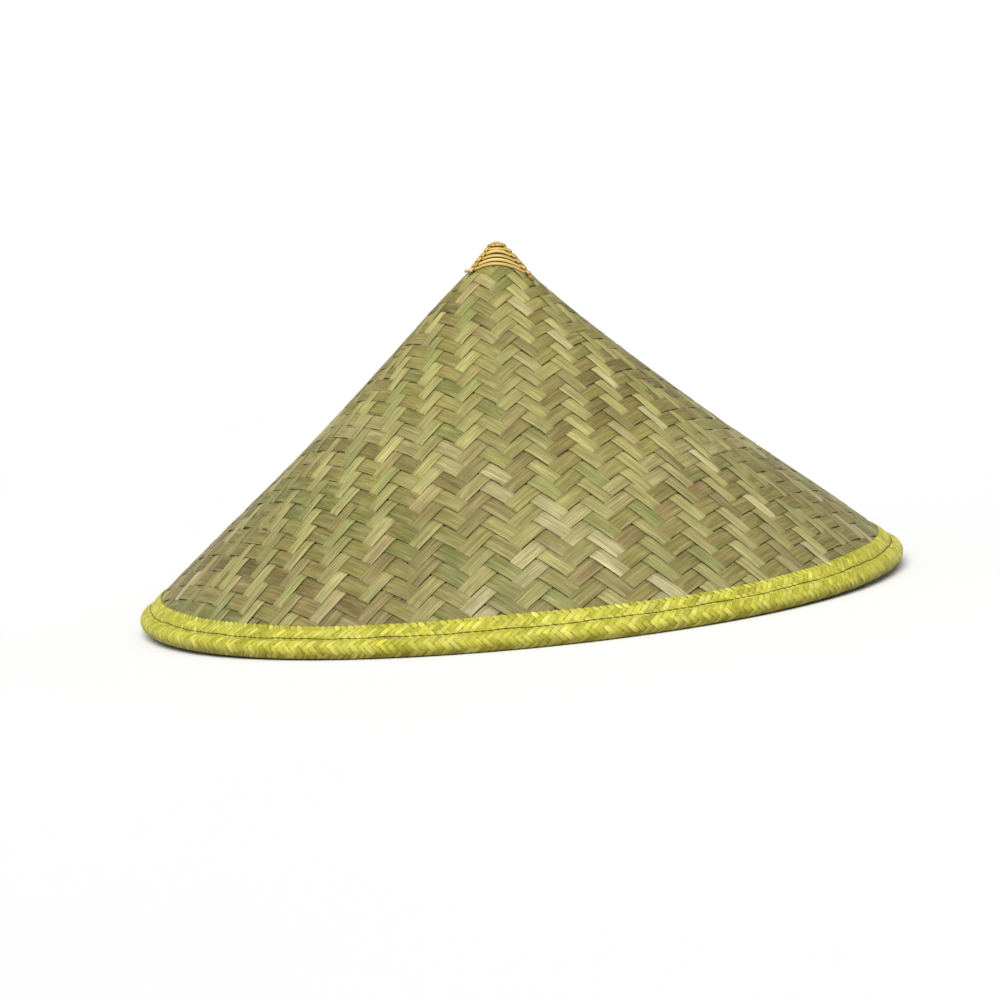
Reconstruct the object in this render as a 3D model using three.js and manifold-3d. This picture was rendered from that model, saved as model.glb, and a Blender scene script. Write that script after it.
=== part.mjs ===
// A conical woven hat, built up from the layers, hoops and bindings that it is made of.
// Units are millimetres. +Z runs up the axis to the tip, and z = 0 is the surface that the brim rests on.
// Azimuth 0 faces -Y and grows towards +X, so the wearer's two sides are at azimuth -90 and +90.
import * as THREE from "three";
import { mergeVertices } from "three/addons/utils/BufferGeometryUtils.js";
import Module from "manifold-3d";

// ---- driving dimensions ----
const RIM_RADIUS = 210; // outside of the edge braid
const EDGE_RADIUS = 5; // half the thickness of the bound edge
const SURFACE_RADIUS = 206.5; // where the woven surface meets the bound edge
const SURFACE_FOOT = 6.8; // height of the woven surface there
const SURFACE_TIP = 190; // height where the woven surface would meet the axis
const SURFACE_SAG = 0.6; // how far the slope dips below a straight line at its middle
const WALL_END_RADIUS = 208.7; // where the layers of the wall end, inside the bound edge
const GAP = 0.3; // clearance between neighbouring pieces
const ROUND_SEGMENTS = 60; // facets round the axis

// The layers of the wall, as depths below the woven surface.
const WEAVE_THICKNESS = 1.3;
const LEAF_THICKNESS = 0.5;
const SPLINT_THICKNESS = 0.6;
const LEAF_DEPTH = WEAVE_THICKNESS + GAP;
const OUTER_SPLINT_DEPTH = LEAF_DEPTH + LEAF_THICKNESS + GAP;
const HOOP_DEPTH = OUTER_SPLINT_DEPTH + SPLINT_THICKNESS + GAP;
const INNER_SPLINT_DEPTH = HOOP_DEPTH + SPLINT_THICKNESS + GAP;
const WALL_DEPTH = INNER_SPLINT_DEPTH + SPLINT_THICKNESS;

// The open lattice that stiffens the wall from inside.
const SPLINT_COUNT = 9;
const SPLINT_WIDTH = 4.5;
const SPLINT_OFFSET = 48; // slant distance from the tip to each splint's nearest point
const SPLINT_CROSSOVER = 5; // half the length over which a splint changes layer
const LATTICE_HOOP_RADII = [42, 72, 103, 138, 172];
const LATTICE_HOOP_WIDTH = 5;
const TIE_HOOP = 2; // index of the lattice hoop that carries the head band

// The head band, which sits on the wearer's head.
const BAND_RADIUS = 88; // inside radius
const BAND_THICKNESS = 1.2;
const BAND_BOTTOM = 66;
const BAND_TOP = 98;
const BAND_HOOP_DEPTH = 2.5; // radial depth of the two hoops round the band
const BAND_HOOP_HEIGHT = 4;
const TIE_COUNT = 6;
const TIE_WIDTH = 3;
const TIE_STRAND = 0.6;
const WINDOW_WIDTH = 5; // slot in the band that a tie passes through
const WINDOW_BOTTOM = 91.4;
const WINDOW_TOP = 93.2;

// The loops and rings for a chin cord.
const RING_RADIUS = 6;
const RING_WIRE = 1;
const LOOP_STRAP = 0.8;
const LOOP_WIDTH = 5;
const LOOP_LEG_TOP = 80;
const RING_PIVOT_HEIGHT = 63.6;

// The binding of the tip.
const SPOKE_AZIMUTHS = [-60, 60, 180];
const SPOKE_WIDTH = 2.2;
const SPOKE_THICKNESS = 1.2;
const SPOKE_START = 5; // slant distances from the tip
const SPOKE_END = 25;
const CANE_RADIUS = 0.8;
const CANE_TURNS = 6;
const CANE_LAST_SLANT = 21;
const CANE_FIRST_SLANT = 3;
const CAP_RISE = 4.6; // how far the crossed spokes lift the first turns of cane

const DEGREE = Math.PI / 180;

// ---- the conical surface ----
const FALL = SURFACE_TIP - SURFACE_FOOT;
const CONE_RATIO = SURFACE_RADIUS / Math.hypot(SURFACE_RADIUS, FALL); // radius over slant distance

function surfaceHeight(radius) {
  const t = radius / SURFACE_RADIUS;
  return SURFACE_FOOT + FALL * (1 - t) - 4 * SURFACE_SAG * t * (1 - t);
}

function surfaceSlope(radius) {
  const t = radius / SURFACE_RADIUS;
  return -(FALL + 4 * SURFACE_SAG * (1 - 2 * t)) / SURFACE_RADIUS;
}

// The point at a depth below the woven surface, as (radius, height).
function sectionPoint(radius, depth) {
  const slope = surfaceSlope(radius);
  const length = Math.hypot(slope, 1);
  return new THREE.Vector2(
    radius + (depth * slope) / length,
    surfaceHeight(radius) - depth / length,
  );
}

function around(azimuth, radius, height) {
  const a = azimuth * DEGREE;
  return new THREE.Vector3(radius * Math.sin(a), -radius * Math.cos(a), height);
}

// The point over a flat pattern of the wall: "across" and "down" are measured on the flat sheet from
// the tip, with "down" along the ray at rayAzimuth.
function onCone(rayAzimuth, across, down, depth) {
  const slant = Math.hypot(across, down);
  const azimuth = rayAzimuth + Math.atan2(across, down) / CONE_RATIO / DEGREE;
  const p = sectionPoint(slant * CONE_RATIO, depth);
  return around(azimuth, p.x, p.y);
}

// ---- helpers ----
function finish(color, roughness, metalness = 0) {
  return new THREE.MeshStandardMaterial({ color, roughness, metalness });
}

const bamboo = finish(0x8e8a52, 0.55);
const innerBamboo = finish(0xc9ad72, 0.6);
const leaf = finish(0x9b8148, 0.7);
const straw = finish(0xb9b431, 0.5);
const cane = finish(0xc99a48, 0.45);
const darkThread = finish(0x5d5a1c, 0.8);
const tape = finish(0x6b5a3a, 0.85);
const steel = finish(0xb8b8b4, 0.3, 1);

const hat = new THREE.Group();
hat.name = "conical_hat";

function add(name, geometry, material, parent = hat) {
  const mesh = new THREE.Mesh(geometry, material);
  mesh.name = name;
  parent.add(mesh);
  return mesh;
}

// A solid of revolution about Z from a closed outline of (radius, height) points that runs anticlockwise.
function revolve(outline) {
  const points = outline.concat(outline[0].clone());
  const geometry = new THREE.LatheGeometry(points, ROUND_SEGMENTS);
  return geometry.rotateX(Math.PI / 2);
}

function rectangleOutline(inner, outer, bottom, top) {
  return [
    new THREE.Vector2(inner, bottom),
    new THREE.Vector2(outer, bottom),
    new THREE.Vector2(outer, top),
    new THREE.Vector2(inner, top),
  ];
}

// The closed outline moved outwards by a distance, with mitred corners; it runs anticlockwise.
function offsetOutline(outline, distance) {
  const count = outline.length;
  return outline.map((point, i) => {
    const into = point.clone().sub(outline[(i + count - 1) % count]).normalize();
    const out = outline[(i + 1) % count].clone().sub(point).normalize();
    const normalIn = new THREE.Vector2(into.y, -into.x);
    const normalOut = new THREE.Vector2(out.y, -out.x);
    const mitre = normalIn.clone().add(normalOut);
    return point.clone().addScaledVector(mitre, distance / (1 + normalIn.dot(normalOut)));
  });
}

// A shell of the wall between two depths, closed at the tip and open at the brim.
function wallShell(outerDepth, innerDepth, radii) {
  const outer = radii.map((r) => sectionPoint(r, outerDepth));
  const inner = radii.map((r) => sectionPoint(r, innerDepth));
  const tipOf = (depth) => new THREE.Vector2(0, SURFACE_TIP - depth / CONE_RATIO);
  const line = [tipOf(innerDepth), ...inner, ...outer.reverse(), tipOf(outerDepth)];
  return new THREE.LatheGeometry(line, ROUND_SEGMENTS).rotateX(Math.PI / 2);
}

// A hoop of the lattice, lying flat against the wall between two depths.
function latticeHoop(radius) {
  const half = (LATTICE_HOOP_WIDTH / 2) * CONE_RATIO;
  return revolve([
    sectionPoint(radius - half, HOOP_DEPTH + SPLINT_THICKNESS),
    sectionPoint(radius + half, HOOP_DEPTH + SPLINT_THICKNESS),
    sectionPoint(radius + half, HOOP_DEPTH),
    sectionPoint(radius - half, HOOP_DEPTH),
  ]);
}

// A flat strip bent over the wall: a box whose length runs across the ray, and whose depth may change.
function wallStrip(rayAzimuth, width, thickness, steps, lengthwise, centreDepth) {
  const box = new THREE.BoxGeometry(2, width, thickness, steps, 1, 1);
  const position = box.getAttribute("position");
  for (let i = 0; i < position.count; i++) {
    const place = lengthwise(position.getX(i), position.getY(i));
    const depth = centreDepth(place.x) - position.getZ(i);
    const p = onCone(rayAzimuth, place.x, place.y, depth);
    position.setXYZ(i, p.x, p.y, p.z);
  }
  return box;
}

// ---- the wall ----
const SHELL_RADII = [60, 120, 165, WALL_END_RADIUS];
add("outer_weave", wallShell(0, WEAVE_THICKNESS, SHELL_RADII), bamboo);
add("leaf_lining", wallShell(LEAF_DEPTH, LEAF_DEPTH + LEAF_THICKNESS, SHELL_RADII), leaf);

// ---- the lattice ----
// Each splint is straight on the flat pattern. One half lies outside the hoops and the other inside,
// so that every crossing has one splint above and one below.
const SPLINT_HALF_LENGTH = Math.sqrt((WALL_END_RADIUS / CONE_RATIO) ** 2 - SPLINT_OFFSET ** 2) - 1;
const SPLINT_BUNCHING = 3; // how much closer the steps lie at a splint's middle than at its ends

function splintDepth(across) {
  const middle = SPLINT_THICKNESS / 2;
  const t = THREE.MathUtils.smoothstep(across, -SPLINT_CROSSOVER, SPLINT_CROSSOVER);
  return middle + THREE.MathUtils.lerp(OUTER_SPLINT_DEPTH, INNER_SPLINT_DEPTH, t);
}

function latticeSplint(rayAzimuth) {
  const lengthwise = (u, y) =>
    new THREE.Vector2(
      (SPLINT_HALF_LENGTH * Math.sinh(SPLINT_BUNCHING * u)) / Math.sinh(SPLINT_BUNCHING),
      SPLINT_OFFSET - y,
    );
  return wallStrip(rayAzimuth, SPLINT_WIDTH, SPLINT_THICKNESS, 36, lengthwise, splintDepth);
}

for (let i = 0; i < SPLINT_COUNT; i++) {
  add(`lattice_splint_${i + 1}`, latticeSplint((360 / SPLINT_COUNT) * i), innerBamboo);
}

LATTICE_HOOP_RADII.forEach((radius, i) => {
  add(`lattice_hoop_${i + 1}`, latticeHoop(radius), innerBamboo);
});

// ---- the bound edge ----
// The edge is drawn about its own centre: "inward" runs up the slope, "proud" runs out of the wall.
const edgeCentre = new THREE.Vector2(RIM_RADIUS - EDGE_RADIUS, EDGE_RADIUS);
const edgeSlope = Math.atan(-surfaceSlope(SURFACE_RADIUS));

function edgePoint(inward, proud) {
  return new THREE.Vector2(
    edgeCentre.x - inward * Math.cos(edgeSlope) + proud * Math.sin(edgeSlope),
    edgeCentre.y + inward * Math.sin(edgeSlope) + proud * Math.cos(edgeSlope),
  );
}

const HALF_WALL = WALL_DEPTH / 2;
const HOOP_ROUND = EDGE_RADIUS - 1.35; // radius of the two rim hoops' rounded backs
const BRAID_THICKNESS = 1;
const BRAID_INNER = HOOP_ROUND + GAP; // inside radius of the braid where it folds round the edge
const UPPER_BAND_END = 15; // how far up the slope the braid reaches outside
const LOWER_BAND_END = 13; // and inside

// A half-round hoop: flat against the wall, with a rounded back.
function rimHoop(side) {
  const flat = HALF_WALL + GAP;
  const half = Math.acos(flat / HOOP_ROUND);
  const outline = [-1, -0.5, 0, 0.5, 1].map((u) =>
    edgePoint(side * HOOP_ROUND * Math.sin(u * half), side * HOOP_ROUND * Math.cos(u * half)),
  );
  return revolve(outline);
}

add("rim_hoop_outer", rimHoop(1), innerBamboo);
add("rim_hoop_inner", rimHoop(-1), innerBamboo);

// Points round the folded edge, from the outside of the brim over its lip to the inside.
function foldArc(radius, proud, steps) {
  const start = Math.acos(proud / radius);
  const points = [];
  for (let i = 0; i <= steps; i++) {
    const a = start - (i / steps) * (Math.PI + 2 * start);
    points.push(edgePoint(radius * Math.sin(a), radius * Math.cos(a)));
  }
  return points;
}

// The braid lies on the wall, folds round the lip and comes back under it, and stands on a flat ring.
const REST_HALF_WIDTH = 1.8; // half the width of the flat ring under the lip
const bandInner = HALF_WALL + GAP;
const bandOuter = bandInner + BRAID_THICKNESS;

function braidOutline() {
  const restInner = edgeCentre.x - REST_HALF_WIDTH;
  const restOuter = edgeCentre.x + REST_HALF_WIDTH;
  const outside = foldArc(BRAID_INNER + BRAID_THICKNESS, bandOuter, 14);
  const lowest = outside.reduce((best, p, i) => (p.y < outside[best].y ? i : best), 0);
  const above = outside.slice(0, lowest - 1);
  const below = outside.slice(lowest + 2);
  const rest = [new THREE.Vector2(restOuter, 0), new THREE.Vector2(restInner, 0)];
  const inside = foldArc(BRAID_INNER, bandInner, 8).reverse();
  const outline = [
    edgePoint(UPPER_BAND_END, bandOuter),
    ...above,
    ...rest,
    ...below,
    edgePoint(LOWER_BAND_END, -bandOuter),
    edgePoint(LOWER_BAND_END, -bandInner),
    ...inside,
    edgePoint(UPPER_BAND_END, bandInner),
  ];
  return outline.reverse();
}

add("edge_braid", revolve(braidOutline()), straw);

// The line of stitching in the groove between the braid's two bands.
const THREAD_HALF = 0.4;
const threadInward = 4.5;
const threadProud = bandOuter + GAP + THREAD_HALF;
add(
  "seam_thread",
  revolve([
    edgePoint(threadInward - THREAD_HALF, threadProud + THREAD_HALF),
    edgePoint(threadInward + THREAD_HALF, threadProud + THREAD_HALF),
    edgePoint(threadInward + THREAD_HALF, threadProud - THREAD_HALF),
    edgePoint(threadInward - THREAD_HALF, threadProud - THREAD_HALF),
  ]),
  darkThread,
);

// ---- the head band ----
const wasm = await Module();
wasm.setup();

function solidOf(geometry) {
  const bare = geometry.clone();
  bare.deleteAttribute("normal");
  bare.deleteAttribute("uv");
  const merged = mergeVertices(bare, 1e-3);
  return new wasm.Manifold(
    new wasm.Mesh({
      numProp: 3,
      vertProperties: new Float32Array(merged.getAttribute("position").array),
      triVerts: new Uint32Array(merged.index.array),
    }),
  );
}

function geometryOf(solid) {
  const mesh = solid.getMesh();
  const geometry = new THREE.BufferGeometry();
  geometry.setAttribute("position", new THREE.BufferAttribute(mesh.vertProperties, 3));
  geometry.setIndex(new THREE.BufferAttribute(mesh.triVerts, 1));
  geometry.computeVertexNormals();
  return geometry;
}

// A slot through the band for each tie, under the upper hoop.
function bandWithWindows() {
  const outer = BAND_RADIUS + BAND_THICKNESS;
  let band = solidOf(revolve(rectangleOutline(BAND_RADIUS, outer, BAND_BOTTOM, BAND_TOP)));
  for (let i = 0; i < TIE_COUNT; i++) {
    const height = WINDOW_TOP - WINDOW_BOTTOM;
    const window = new THREE.BoxGeometry(WINDOW_WIDTH, 10, height);
    const middle = around(0, BAND_RADIUS, (WINDOW_TOP + WINDOW_BOTTOM) / 2);
    window.translate(middle.x, middle.y, middle.z);
    window.rotateZ((2 * Math.PI * i) / TIE_COUNT);
    band = band.subtract(solidOf(window));
  }
  return geometryOf(band);
}

add("head_band", bandWithWindows(), innerBamboo);

const hoopInner = BAND_RADIUS + BAND_THICKNESS + GAP;
const hoopOuter = hoopInner + BAND_HOOP_DEPTH;
const upperHoopBottom = WINDOW_TOP + GAP;
add(
  "head_band_upper_hoop",
  revolve(rectangleOutline(hoopInner, hoopOuter, upperHoopBottom, upperHoopBottom + BAND_HOOP_HEIGHT)),
  innerBamboo,
);
add(
  "head_band_lower_hoop",
  revolve(rectangleOutline(hoopInner, hoopOuter, BAND_BOTTOM, BAND_BOTTOM + BAND_HOOP_HEIGHT)),
  innerBamboo,
);

// A tie is a closed loop of cane round the band's upper hoop and one hoop of the lattice.
// Its section lies in a plane through the axis, with radius as x and height as y.
function tieGeometry() {
  const hoop = LATTICE_HOOP_RADII[TIE_HOOP];
  const reach = (LATTICE_HOOP_WIDTH / 2 + 2 * GAP) * CONE_RATIO;
  const insideBand = BAND_RADIUS - GAP - 0.1;
  const hole = [
    new THREE.Vector2(insideBand, WINDOW_TOP - GAP),
    sectionPoint(hoop + reach, HOOP_DEPTH + SPLINT_THICKNESS + GAP),
    sectionPoint(hoop + reach, HOOP_DEPTH - GAP),
    sectionPoint(hoop - reach, HOOP_DEPTH - GAP),
    new THREE.Vector2(insideBand, BAND_TOP + GAP),
  ];
  const shape = new THREE.Shape(offsetOutline(hole, TIE_STRAND));
  shape.holes.push(new THREE.Path(hole));
  const loop = new THREE.ExtrudeGeometry(shape, { depth: TIE_WIDTH, bevelEnabled: false });
  return loop.translate(0, 0, -TIE_WIDTH / 2).rotateX(Math.PI / 2);
}

for (let i = 0; i < TIE_COUNT; i++) {
  const tie = add(`band_tie_${i + 1}`, tieGeometry(), cane);
  tie.rotation.z = ((2 * Math.PI) / TIE_COUNT) * i + Math.PI / 2;
}

// ---- the chin cord's anchors ----
// A strap goes down one face of the band, round the ring's wire and up the other face.
function loopGeometry() {
  const legInner = BAND_RADIUS - GAP - 0.1;
  const legOuter = hoopOuter + GAP;
  const middle = (legInner + legOuter) / 2;
  const bend = (legOuter - legInner) / 2;
  const outer = new THREE.Shape();
  outer.moveTo(legInner - LOOP_STRAP, LOOP_LEG_TOP);
  outer.lineTo(legInner - LOOP_STRAP, RING_PIVOT_HEIGHT);
  outer.absarc(middle, RING_PIVOT_HEIGHT, bend + LOOP_STRAP, Math.PI, 2 * Math.PI, false);
  outer.lineTo(legOuter + LOOP_STRAP, LOOP_LEG_TOP);
  outer.lineTo(legOuter, LOOP_LEG_TOP);
  outer.absarc(middle, RING_PIVOT_HEIGHT, bend, 2 * Math.PI, Math.PI, true);
  outer.lineTo(legInner, LOOP_LEG_TOP);
  const options = { depth: LOOP_WIDTH, bevelEnabled: false, curveSegments: 5 };
  const strap = new THREE.ExtrudeGeometry(outer, options);
  return strap.translate(0, 0, -LOOP_WIDTH / 2).rotateX(Math.PI / 2);
}

// A plain wire ring hanging in the strap, which swings in and out about the strap's bend.
function ringGeometry() {
  const ring = new THREE.TorusGeometry(RING_RADIUS, RING_WIRE, 8, 20);
  return ring.rotateY(Math.PI / 2);
}

const ringPivotRadius = (BAND_RADIUS - GAP - 0.1 + hoopOuter + GAP) / 2;
for (const [side, turn] of [["left", Math.PI], ["right", 0]]) {
  const anchor = new THREE.Group();
  anchor.rotation.z = turn;
  hat.add(anchor);
  add(`chin_loop_${side}`, loopGeometry(), tape, anchor);
  const ring = add(`chin_ring_${side}`, ringGeometry(), steel, anchor);
  ring.position.set(ringPivotRadius, 0, RING_PIVOT_HEIGHT - RING_RADIUS);
}

// ---- the tip ----
// Three flat spokes lie down the corners of the weave, and one length of cane is wound over them.
function spokeGeometry(azimuth) {
  const length = SPOKE_END - SPOKE_START;
  const box = new THREE.BoxGeometry(SPOKE_WIDTH, length, SPOKE_THICKNESS, 1, 4, 1);
  const position = box.getAttribute("position");
  const depth = -(GAP + SPOKE_THICKNESS / 2);
  for (let i = 0; i < position.count; i++) {
    const down = (SPOKE_START + SPOKE_END) / 2 - position.getY(i);
    const p = onCone(azimuth, position.getX(i), down, depth - position.getZ(i));
    position.setXYZ(i, p.x, p.y, p.z);
  }
  return box;
}

SPOKE_AZIMUTHS.forEach((azimuth, i) => {
  add(`apex_spoke_${i + 1}`, spokeGeometry(azimuth), cane);
});

// The cane's route: taut over the flat pattern from spoke to spoke, raised where it crosses one.
const overSpoke = GAP + SPOKE_THICKNESS + GAP + CANE_RADIUS;
const betweenSpokes = GAP + CANE_RADIUS;

class CaneRoute extends THREE.Curve {
  getPoint(t, target = new THREE.Vector3()) {
    const sides = CANE_TURNS * SPOKE_AZIMUTHS.length;
    const along = t * sides;
    const side = Math.min(Math.floor(along), sides - 1);
    const u = along - side;
    const slantAt = (k) =>
      CANE_FIRST_SLANT + ((CANE_LAST_SLANT - CANE_FIRST_SLANT) * k) / sides;
    const from = slantAt(side);
    const to = slantAt(side + 1);
    const spread = (120 * DEGREE * CONE_RATIO) / 2;
    const across = THREE.MathUtils.lerp(-from, to, u) * Math.sin(spread);
    const down = THREE.MathUtils.lerp(from, to, u) * Math.cos(spread);
    const toSpoke = Math.min(u * from, (1 - u) * to) * 2 * Math.sin(spread);
    const dip = THREE.MathUtils.smoothstep(toSpoke, 1.4, 4);
    const lift = CAP_RISE * Math.exp(-Math.hypot(across, down) / 4);
    const height = THREE.MathUtils.lerp(overSpoke, betweenSpokes, dip) + lift;
    return target.copy(onCone(SPOKE_AZIMUTHS[0] + 60 + 120 * side, across, down, -height));
  }
}

function caneGeometry() {
  const section = new THREE.Shape();
  section.absarc(0, 0, CANE_RADIUS, 0, 2 * Math.PI, false);
  return new THREE.ExtrudeGeometry(section, {
    extrudePath: new CaneRoute(),
    steps: 130,
    curveSegments: 3,
    bevelEnabled: false,
  });
}

add("apex_cane", caneGeometry(), cane);

export default hat;
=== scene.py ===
# The looks of a conical woven hat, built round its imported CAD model.
# Shapes are worked out in millimetres and written in metres. +Z runs up the axis to the tip. Azimuth 0
# faces -Y, towards the camera, and grows towards +X.
import math

import bpy
import numpy as np
from mathutils import Matrix, Vector


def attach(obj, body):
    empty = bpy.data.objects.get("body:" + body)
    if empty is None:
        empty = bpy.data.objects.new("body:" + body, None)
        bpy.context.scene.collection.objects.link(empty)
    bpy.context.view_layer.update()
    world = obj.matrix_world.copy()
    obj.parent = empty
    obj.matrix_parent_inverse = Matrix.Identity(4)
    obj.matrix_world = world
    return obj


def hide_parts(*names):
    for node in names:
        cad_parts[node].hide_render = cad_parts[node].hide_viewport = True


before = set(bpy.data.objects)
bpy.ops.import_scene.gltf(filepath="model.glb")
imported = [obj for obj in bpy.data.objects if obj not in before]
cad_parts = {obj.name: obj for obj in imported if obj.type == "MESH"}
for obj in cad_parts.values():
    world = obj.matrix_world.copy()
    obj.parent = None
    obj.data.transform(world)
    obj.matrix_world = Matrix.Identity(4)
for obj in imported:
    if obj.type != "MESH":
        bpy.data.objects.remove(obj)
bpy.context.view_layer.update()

MM = 0.001
HAT = "hat"  # the body that carries everything but the chin rings
rng = np.random.default_rng(11)


def new_object(name, data):
    made = bpy.data.objects.new(name, data)
    bpy.context.scene.collection.objects.link(made)
    return made


# ---- the camera
CAMERA_DISTANCE = 1.8
CAMERA_ELEVATION = math.radians(4.67)
CAMERA_ROLL = math.radians(5.46)
CAMERA_LENS = 117.9
SENSOR_WIDTH = 36
LOOK_AT = Vector((0, 0, 0.09))
AIM_LEFT = 0.0035  # how far off that point the picture's middle lies
AIM_BELOW = 0.0376


def make_camera():
    """A long lens a little above the rim, rolled so that the hat leans to the left of the picture."""
    forward = Vector((0, math.cos(CAMERA_ELEVATION), -math.sin(CAMERA_ELEVATION)))
    level_right = Vector((1, 0, 0))
    level_up = level_right.cross(forward)
    c, s = math.cos(CAMERA_ROLL), math.sin(CAMERA_ROLL)
    right = c * level_right - s * level_up
    up = s * level_right + c * level_up
    place = LOOK_AT - forward * CAMERA_DISTANCE
    aim = LOOK_AT - AIM_LEFT * right - AIM_BELOW * up
    back = (place - aim).normalized()
    right = (right - right.dot(back) * back).normalized()
    up = back.cross(right)
    data = bpy.data.cameras.new("camera")
    data.lens = CAMERA_LENS
    data.sensor_width = SENSOR_WIDTH
    camera = new_object("camera", data)
    turn = Matrix((right, up, back)).transposed()
    camera.matrix_world = Matrix.Translation(place) @ turn.to_4x4()
    bpy.context.scene.camera = camera


# ---- the hat's surface
RIM_RADIUS = 210.0
EDGE_RADIUS = 5.0  # of the rounded, bound edge
SURFACE_RADIUS = 206.5  # the wall's outer surface: its radius and height at the rim, and its top
SURFACE_FOOT = 6.8
SURFACE_TIP = 190.0
SURFACE_SAG = 0.6  # how far the slope sags between the two
FALL = SURFACE_TIP - SURFACE_FOOT
CONE_RATIO = SURFACE_RADIUS / math.hypot(SURFACE_RADIUS, FALL)  # radius over slant distance
LAYERS_RADIUS = 208.6  # where the layers of the wall end, inside the bound edge
SLANT_END = LAYERS_RADIUS / CONE_RATIO
LEAN = 4.0  # how far the tip leans to +X
LEAN_REACH = 24.0  # radius by which the lean has mostly died out
TIP_BLUNT = 3.2  # how much blunter the made hat is at its tip
BLUNT_REACH = 45.0
SIDE_LIFT = 4.2  # how far the brim rises at the hat's two sides
LIFT_START = 100.0  # radii between which that rise sets in
LIFT_END = 195.0
LIFT_LOSS = 0.35  # share of it that is gone again at the very rim


def surface_height(radius):
    t = radius / SURFACE_RADIUS
    return SURFACE_FOOT + FALL * (1 - t) - 4 * SURFACE_SAG * t * (1 - t)


def surface_slope(radius):
    t = radius / SURFACE_RADIUS
    return -(FALL + 4 * SURFACE_SAG * (1 - 2 * t)) / SURFACE_RADIUS


def turned(azimuth, radius, height):
    """Points at azimuths in radians, radii and heights."""
    return np.stack([radius * np.sin(azimuth), -radius * np.cos(azimuth), height], -1)


def standing_off(azimuth, radius, rise, slope, height):
    """Points that stand off a surface of revolution by a height, square to it."""
    length = np.hypot(slope, 1)
    return turned(azimuth, radius - height * slope / length, rise + height / length)


def off_wall(azimuth, radius, height):
    return standing_off(azimuth, radius, surface_height(radius), surface_slope(radius), height)


def leaning(points, radius):
    """Leans the tip over to +X."""
    points[..., 0] += LEAN * np.exp(-((radius / LEAN_REACH) ** 2))
    return points


def smooth(t):
    """From 0 at t = 0 to 1 at t = 1."""
    t = np.clip(t, 0, 1)
    return t * t * (3 - 2 * t)


def settled(points):
    """Hand-made shape: a blunter tip, and a brim that rises a little at the two sides."""
    radius = np.hypot(points[:, 0], points[:, 1])
    sideways = (points[:, 0] / np.maximum(radius, 0.01)) ** 4
    lift = smooth((radius - LIFT_START) / (LIFT_END - LIFT_START))
    lift *= 1 - LIFT_LOSS * smooth((radius - LIFT_END) / (RIM_RADIUS - LIFT_END))
    points[:, 2] += TIP_BLUNT * np.exp(-((radius / BLUNT_REACH) ** 2)) + SIDE_LIFT * sideways * lift
    return points


def on_wall(ray):
    """Places points of the wall's flat pattern. Down runs from the tip, along the ray at this azimuth."""

    def place(across, down, height):
        radius = np.minimum(np.hypot(across, down), SLANT_END) * CONE_RATIO
        azimuth = math.radians(ray) + np.arctan2(across, down) / CONE_RATIO
        return leaning(off_wall(azimuth, radius, height), radius)

    return place


# ---- mesh making
class Sheaf:
    """Gathers strips into one mesh, with their grain coordinates and their tones."""

    def __init__(self):
        self.points, self.grain, self.tone = [], [], []
        self.quads, self.caps = [], []
        self.count = self.strips = 0

    def add(self, points, grain, tone, closed):
        """points is stations x section x 3; the strip is a tube of that section."""
        n, m = points.shape[:2]
        index = self.count + np.arange(n * m).reshape(n, m)
        rows = np.vstack([index, index[:1]]) if closed else index
        a, b = rows[:-1], rows[1:]
        ring = np.stack([a, b, np.roll(b, -1, 1), np.roll(a, -1, 1)], -1)
        self.quads.append(ring.reshape(-1, 4))
        if not closed:
            self.caps += [index[0].tolist(), index[-1][::-1].tolist()]
        self.points.append(points.reshape(-1, 3))
        self.grain.append(grain.reshape(-1, 3))
        self.tone.append(tone.reshape(-1, 4))
        self.count += n * m
        self.strips += 1

    def build(self, name, material, slot, nodes=(), body=HAT, sharp=45):
        """Makes the piece, rides it on its body, and hides the CAD nodes that it stands for."""
        points = settled(np.concatenate(self.points)) * MM
        mesh = bpy.data.meshes.new(name)
        mesh.from_pydata(points.tolist(), [], np.concatenate(self.quads).tolist() + self.caps)
        for key, kind, rows in (("grain", "vector", self.grain), ("tone", "color", self.tone)):
            attribute = mesh.attributes.new(key, "FLOAT_" + kind.upper(), "POINT")
            attribute.data.foreach_set(kind, np.concatenate(rows).astype(np.float32).ravel())
        mesh.polygons.foreach_set("use_smooth", [True] * len(mesh.polygons))
        mesh.set_sharp_from_angle(angle=math.radians(sharp))
        mesh.materials.append(material)
        piece = new_object(name, mesh)
        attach(piece, body)
        if nodes:
            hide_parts(*nodes)


CROWN_SHARE = 0.2  # half the width of a flat strip's crown, as a share of the strip's


def flat_section(width, thickness, crown=0.0, bevel=0.12):
    """A flat strip's section: rows of (share of the width, height), round from its lower corner."""
    half = thickness / 2
    edge = 0.5 - bevel / width
    right = [(0.5, -half), (0.5, half - bevel), (edge, half), (CROWN_SHARE, half + crown)]
    return np.array(right + [(-share, rise) for share, rise in reversed(right)])


def round_section(thickness, sides, power=1.0):
    """A circle, or with a power under 1 something between a circle and a square."""
    turn = 2 * np.pi * np.arange(sides) / sides
    across, out = np.cos(turn), np.sin(turn)
    swell = np.sign(across) * np.abs(across) ** power
    bulge = np.sign(out) * np.abs(out) ** power
    return np.stack([0.5 * swell, 0.5 * thickness * bulge], -1)


def level_path(length, count, down):
    """A closed path of so many stations, all at one distance down."""
    return np.stack([length * np.arange(count) / count, np.full(count, float(down))], -1)


# How far apart the strips of one piece lie in their material's own space, so that no two match.
GRAIN_ALONG = 211.0
GRAIN_ACROSS = 37.7


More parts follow.
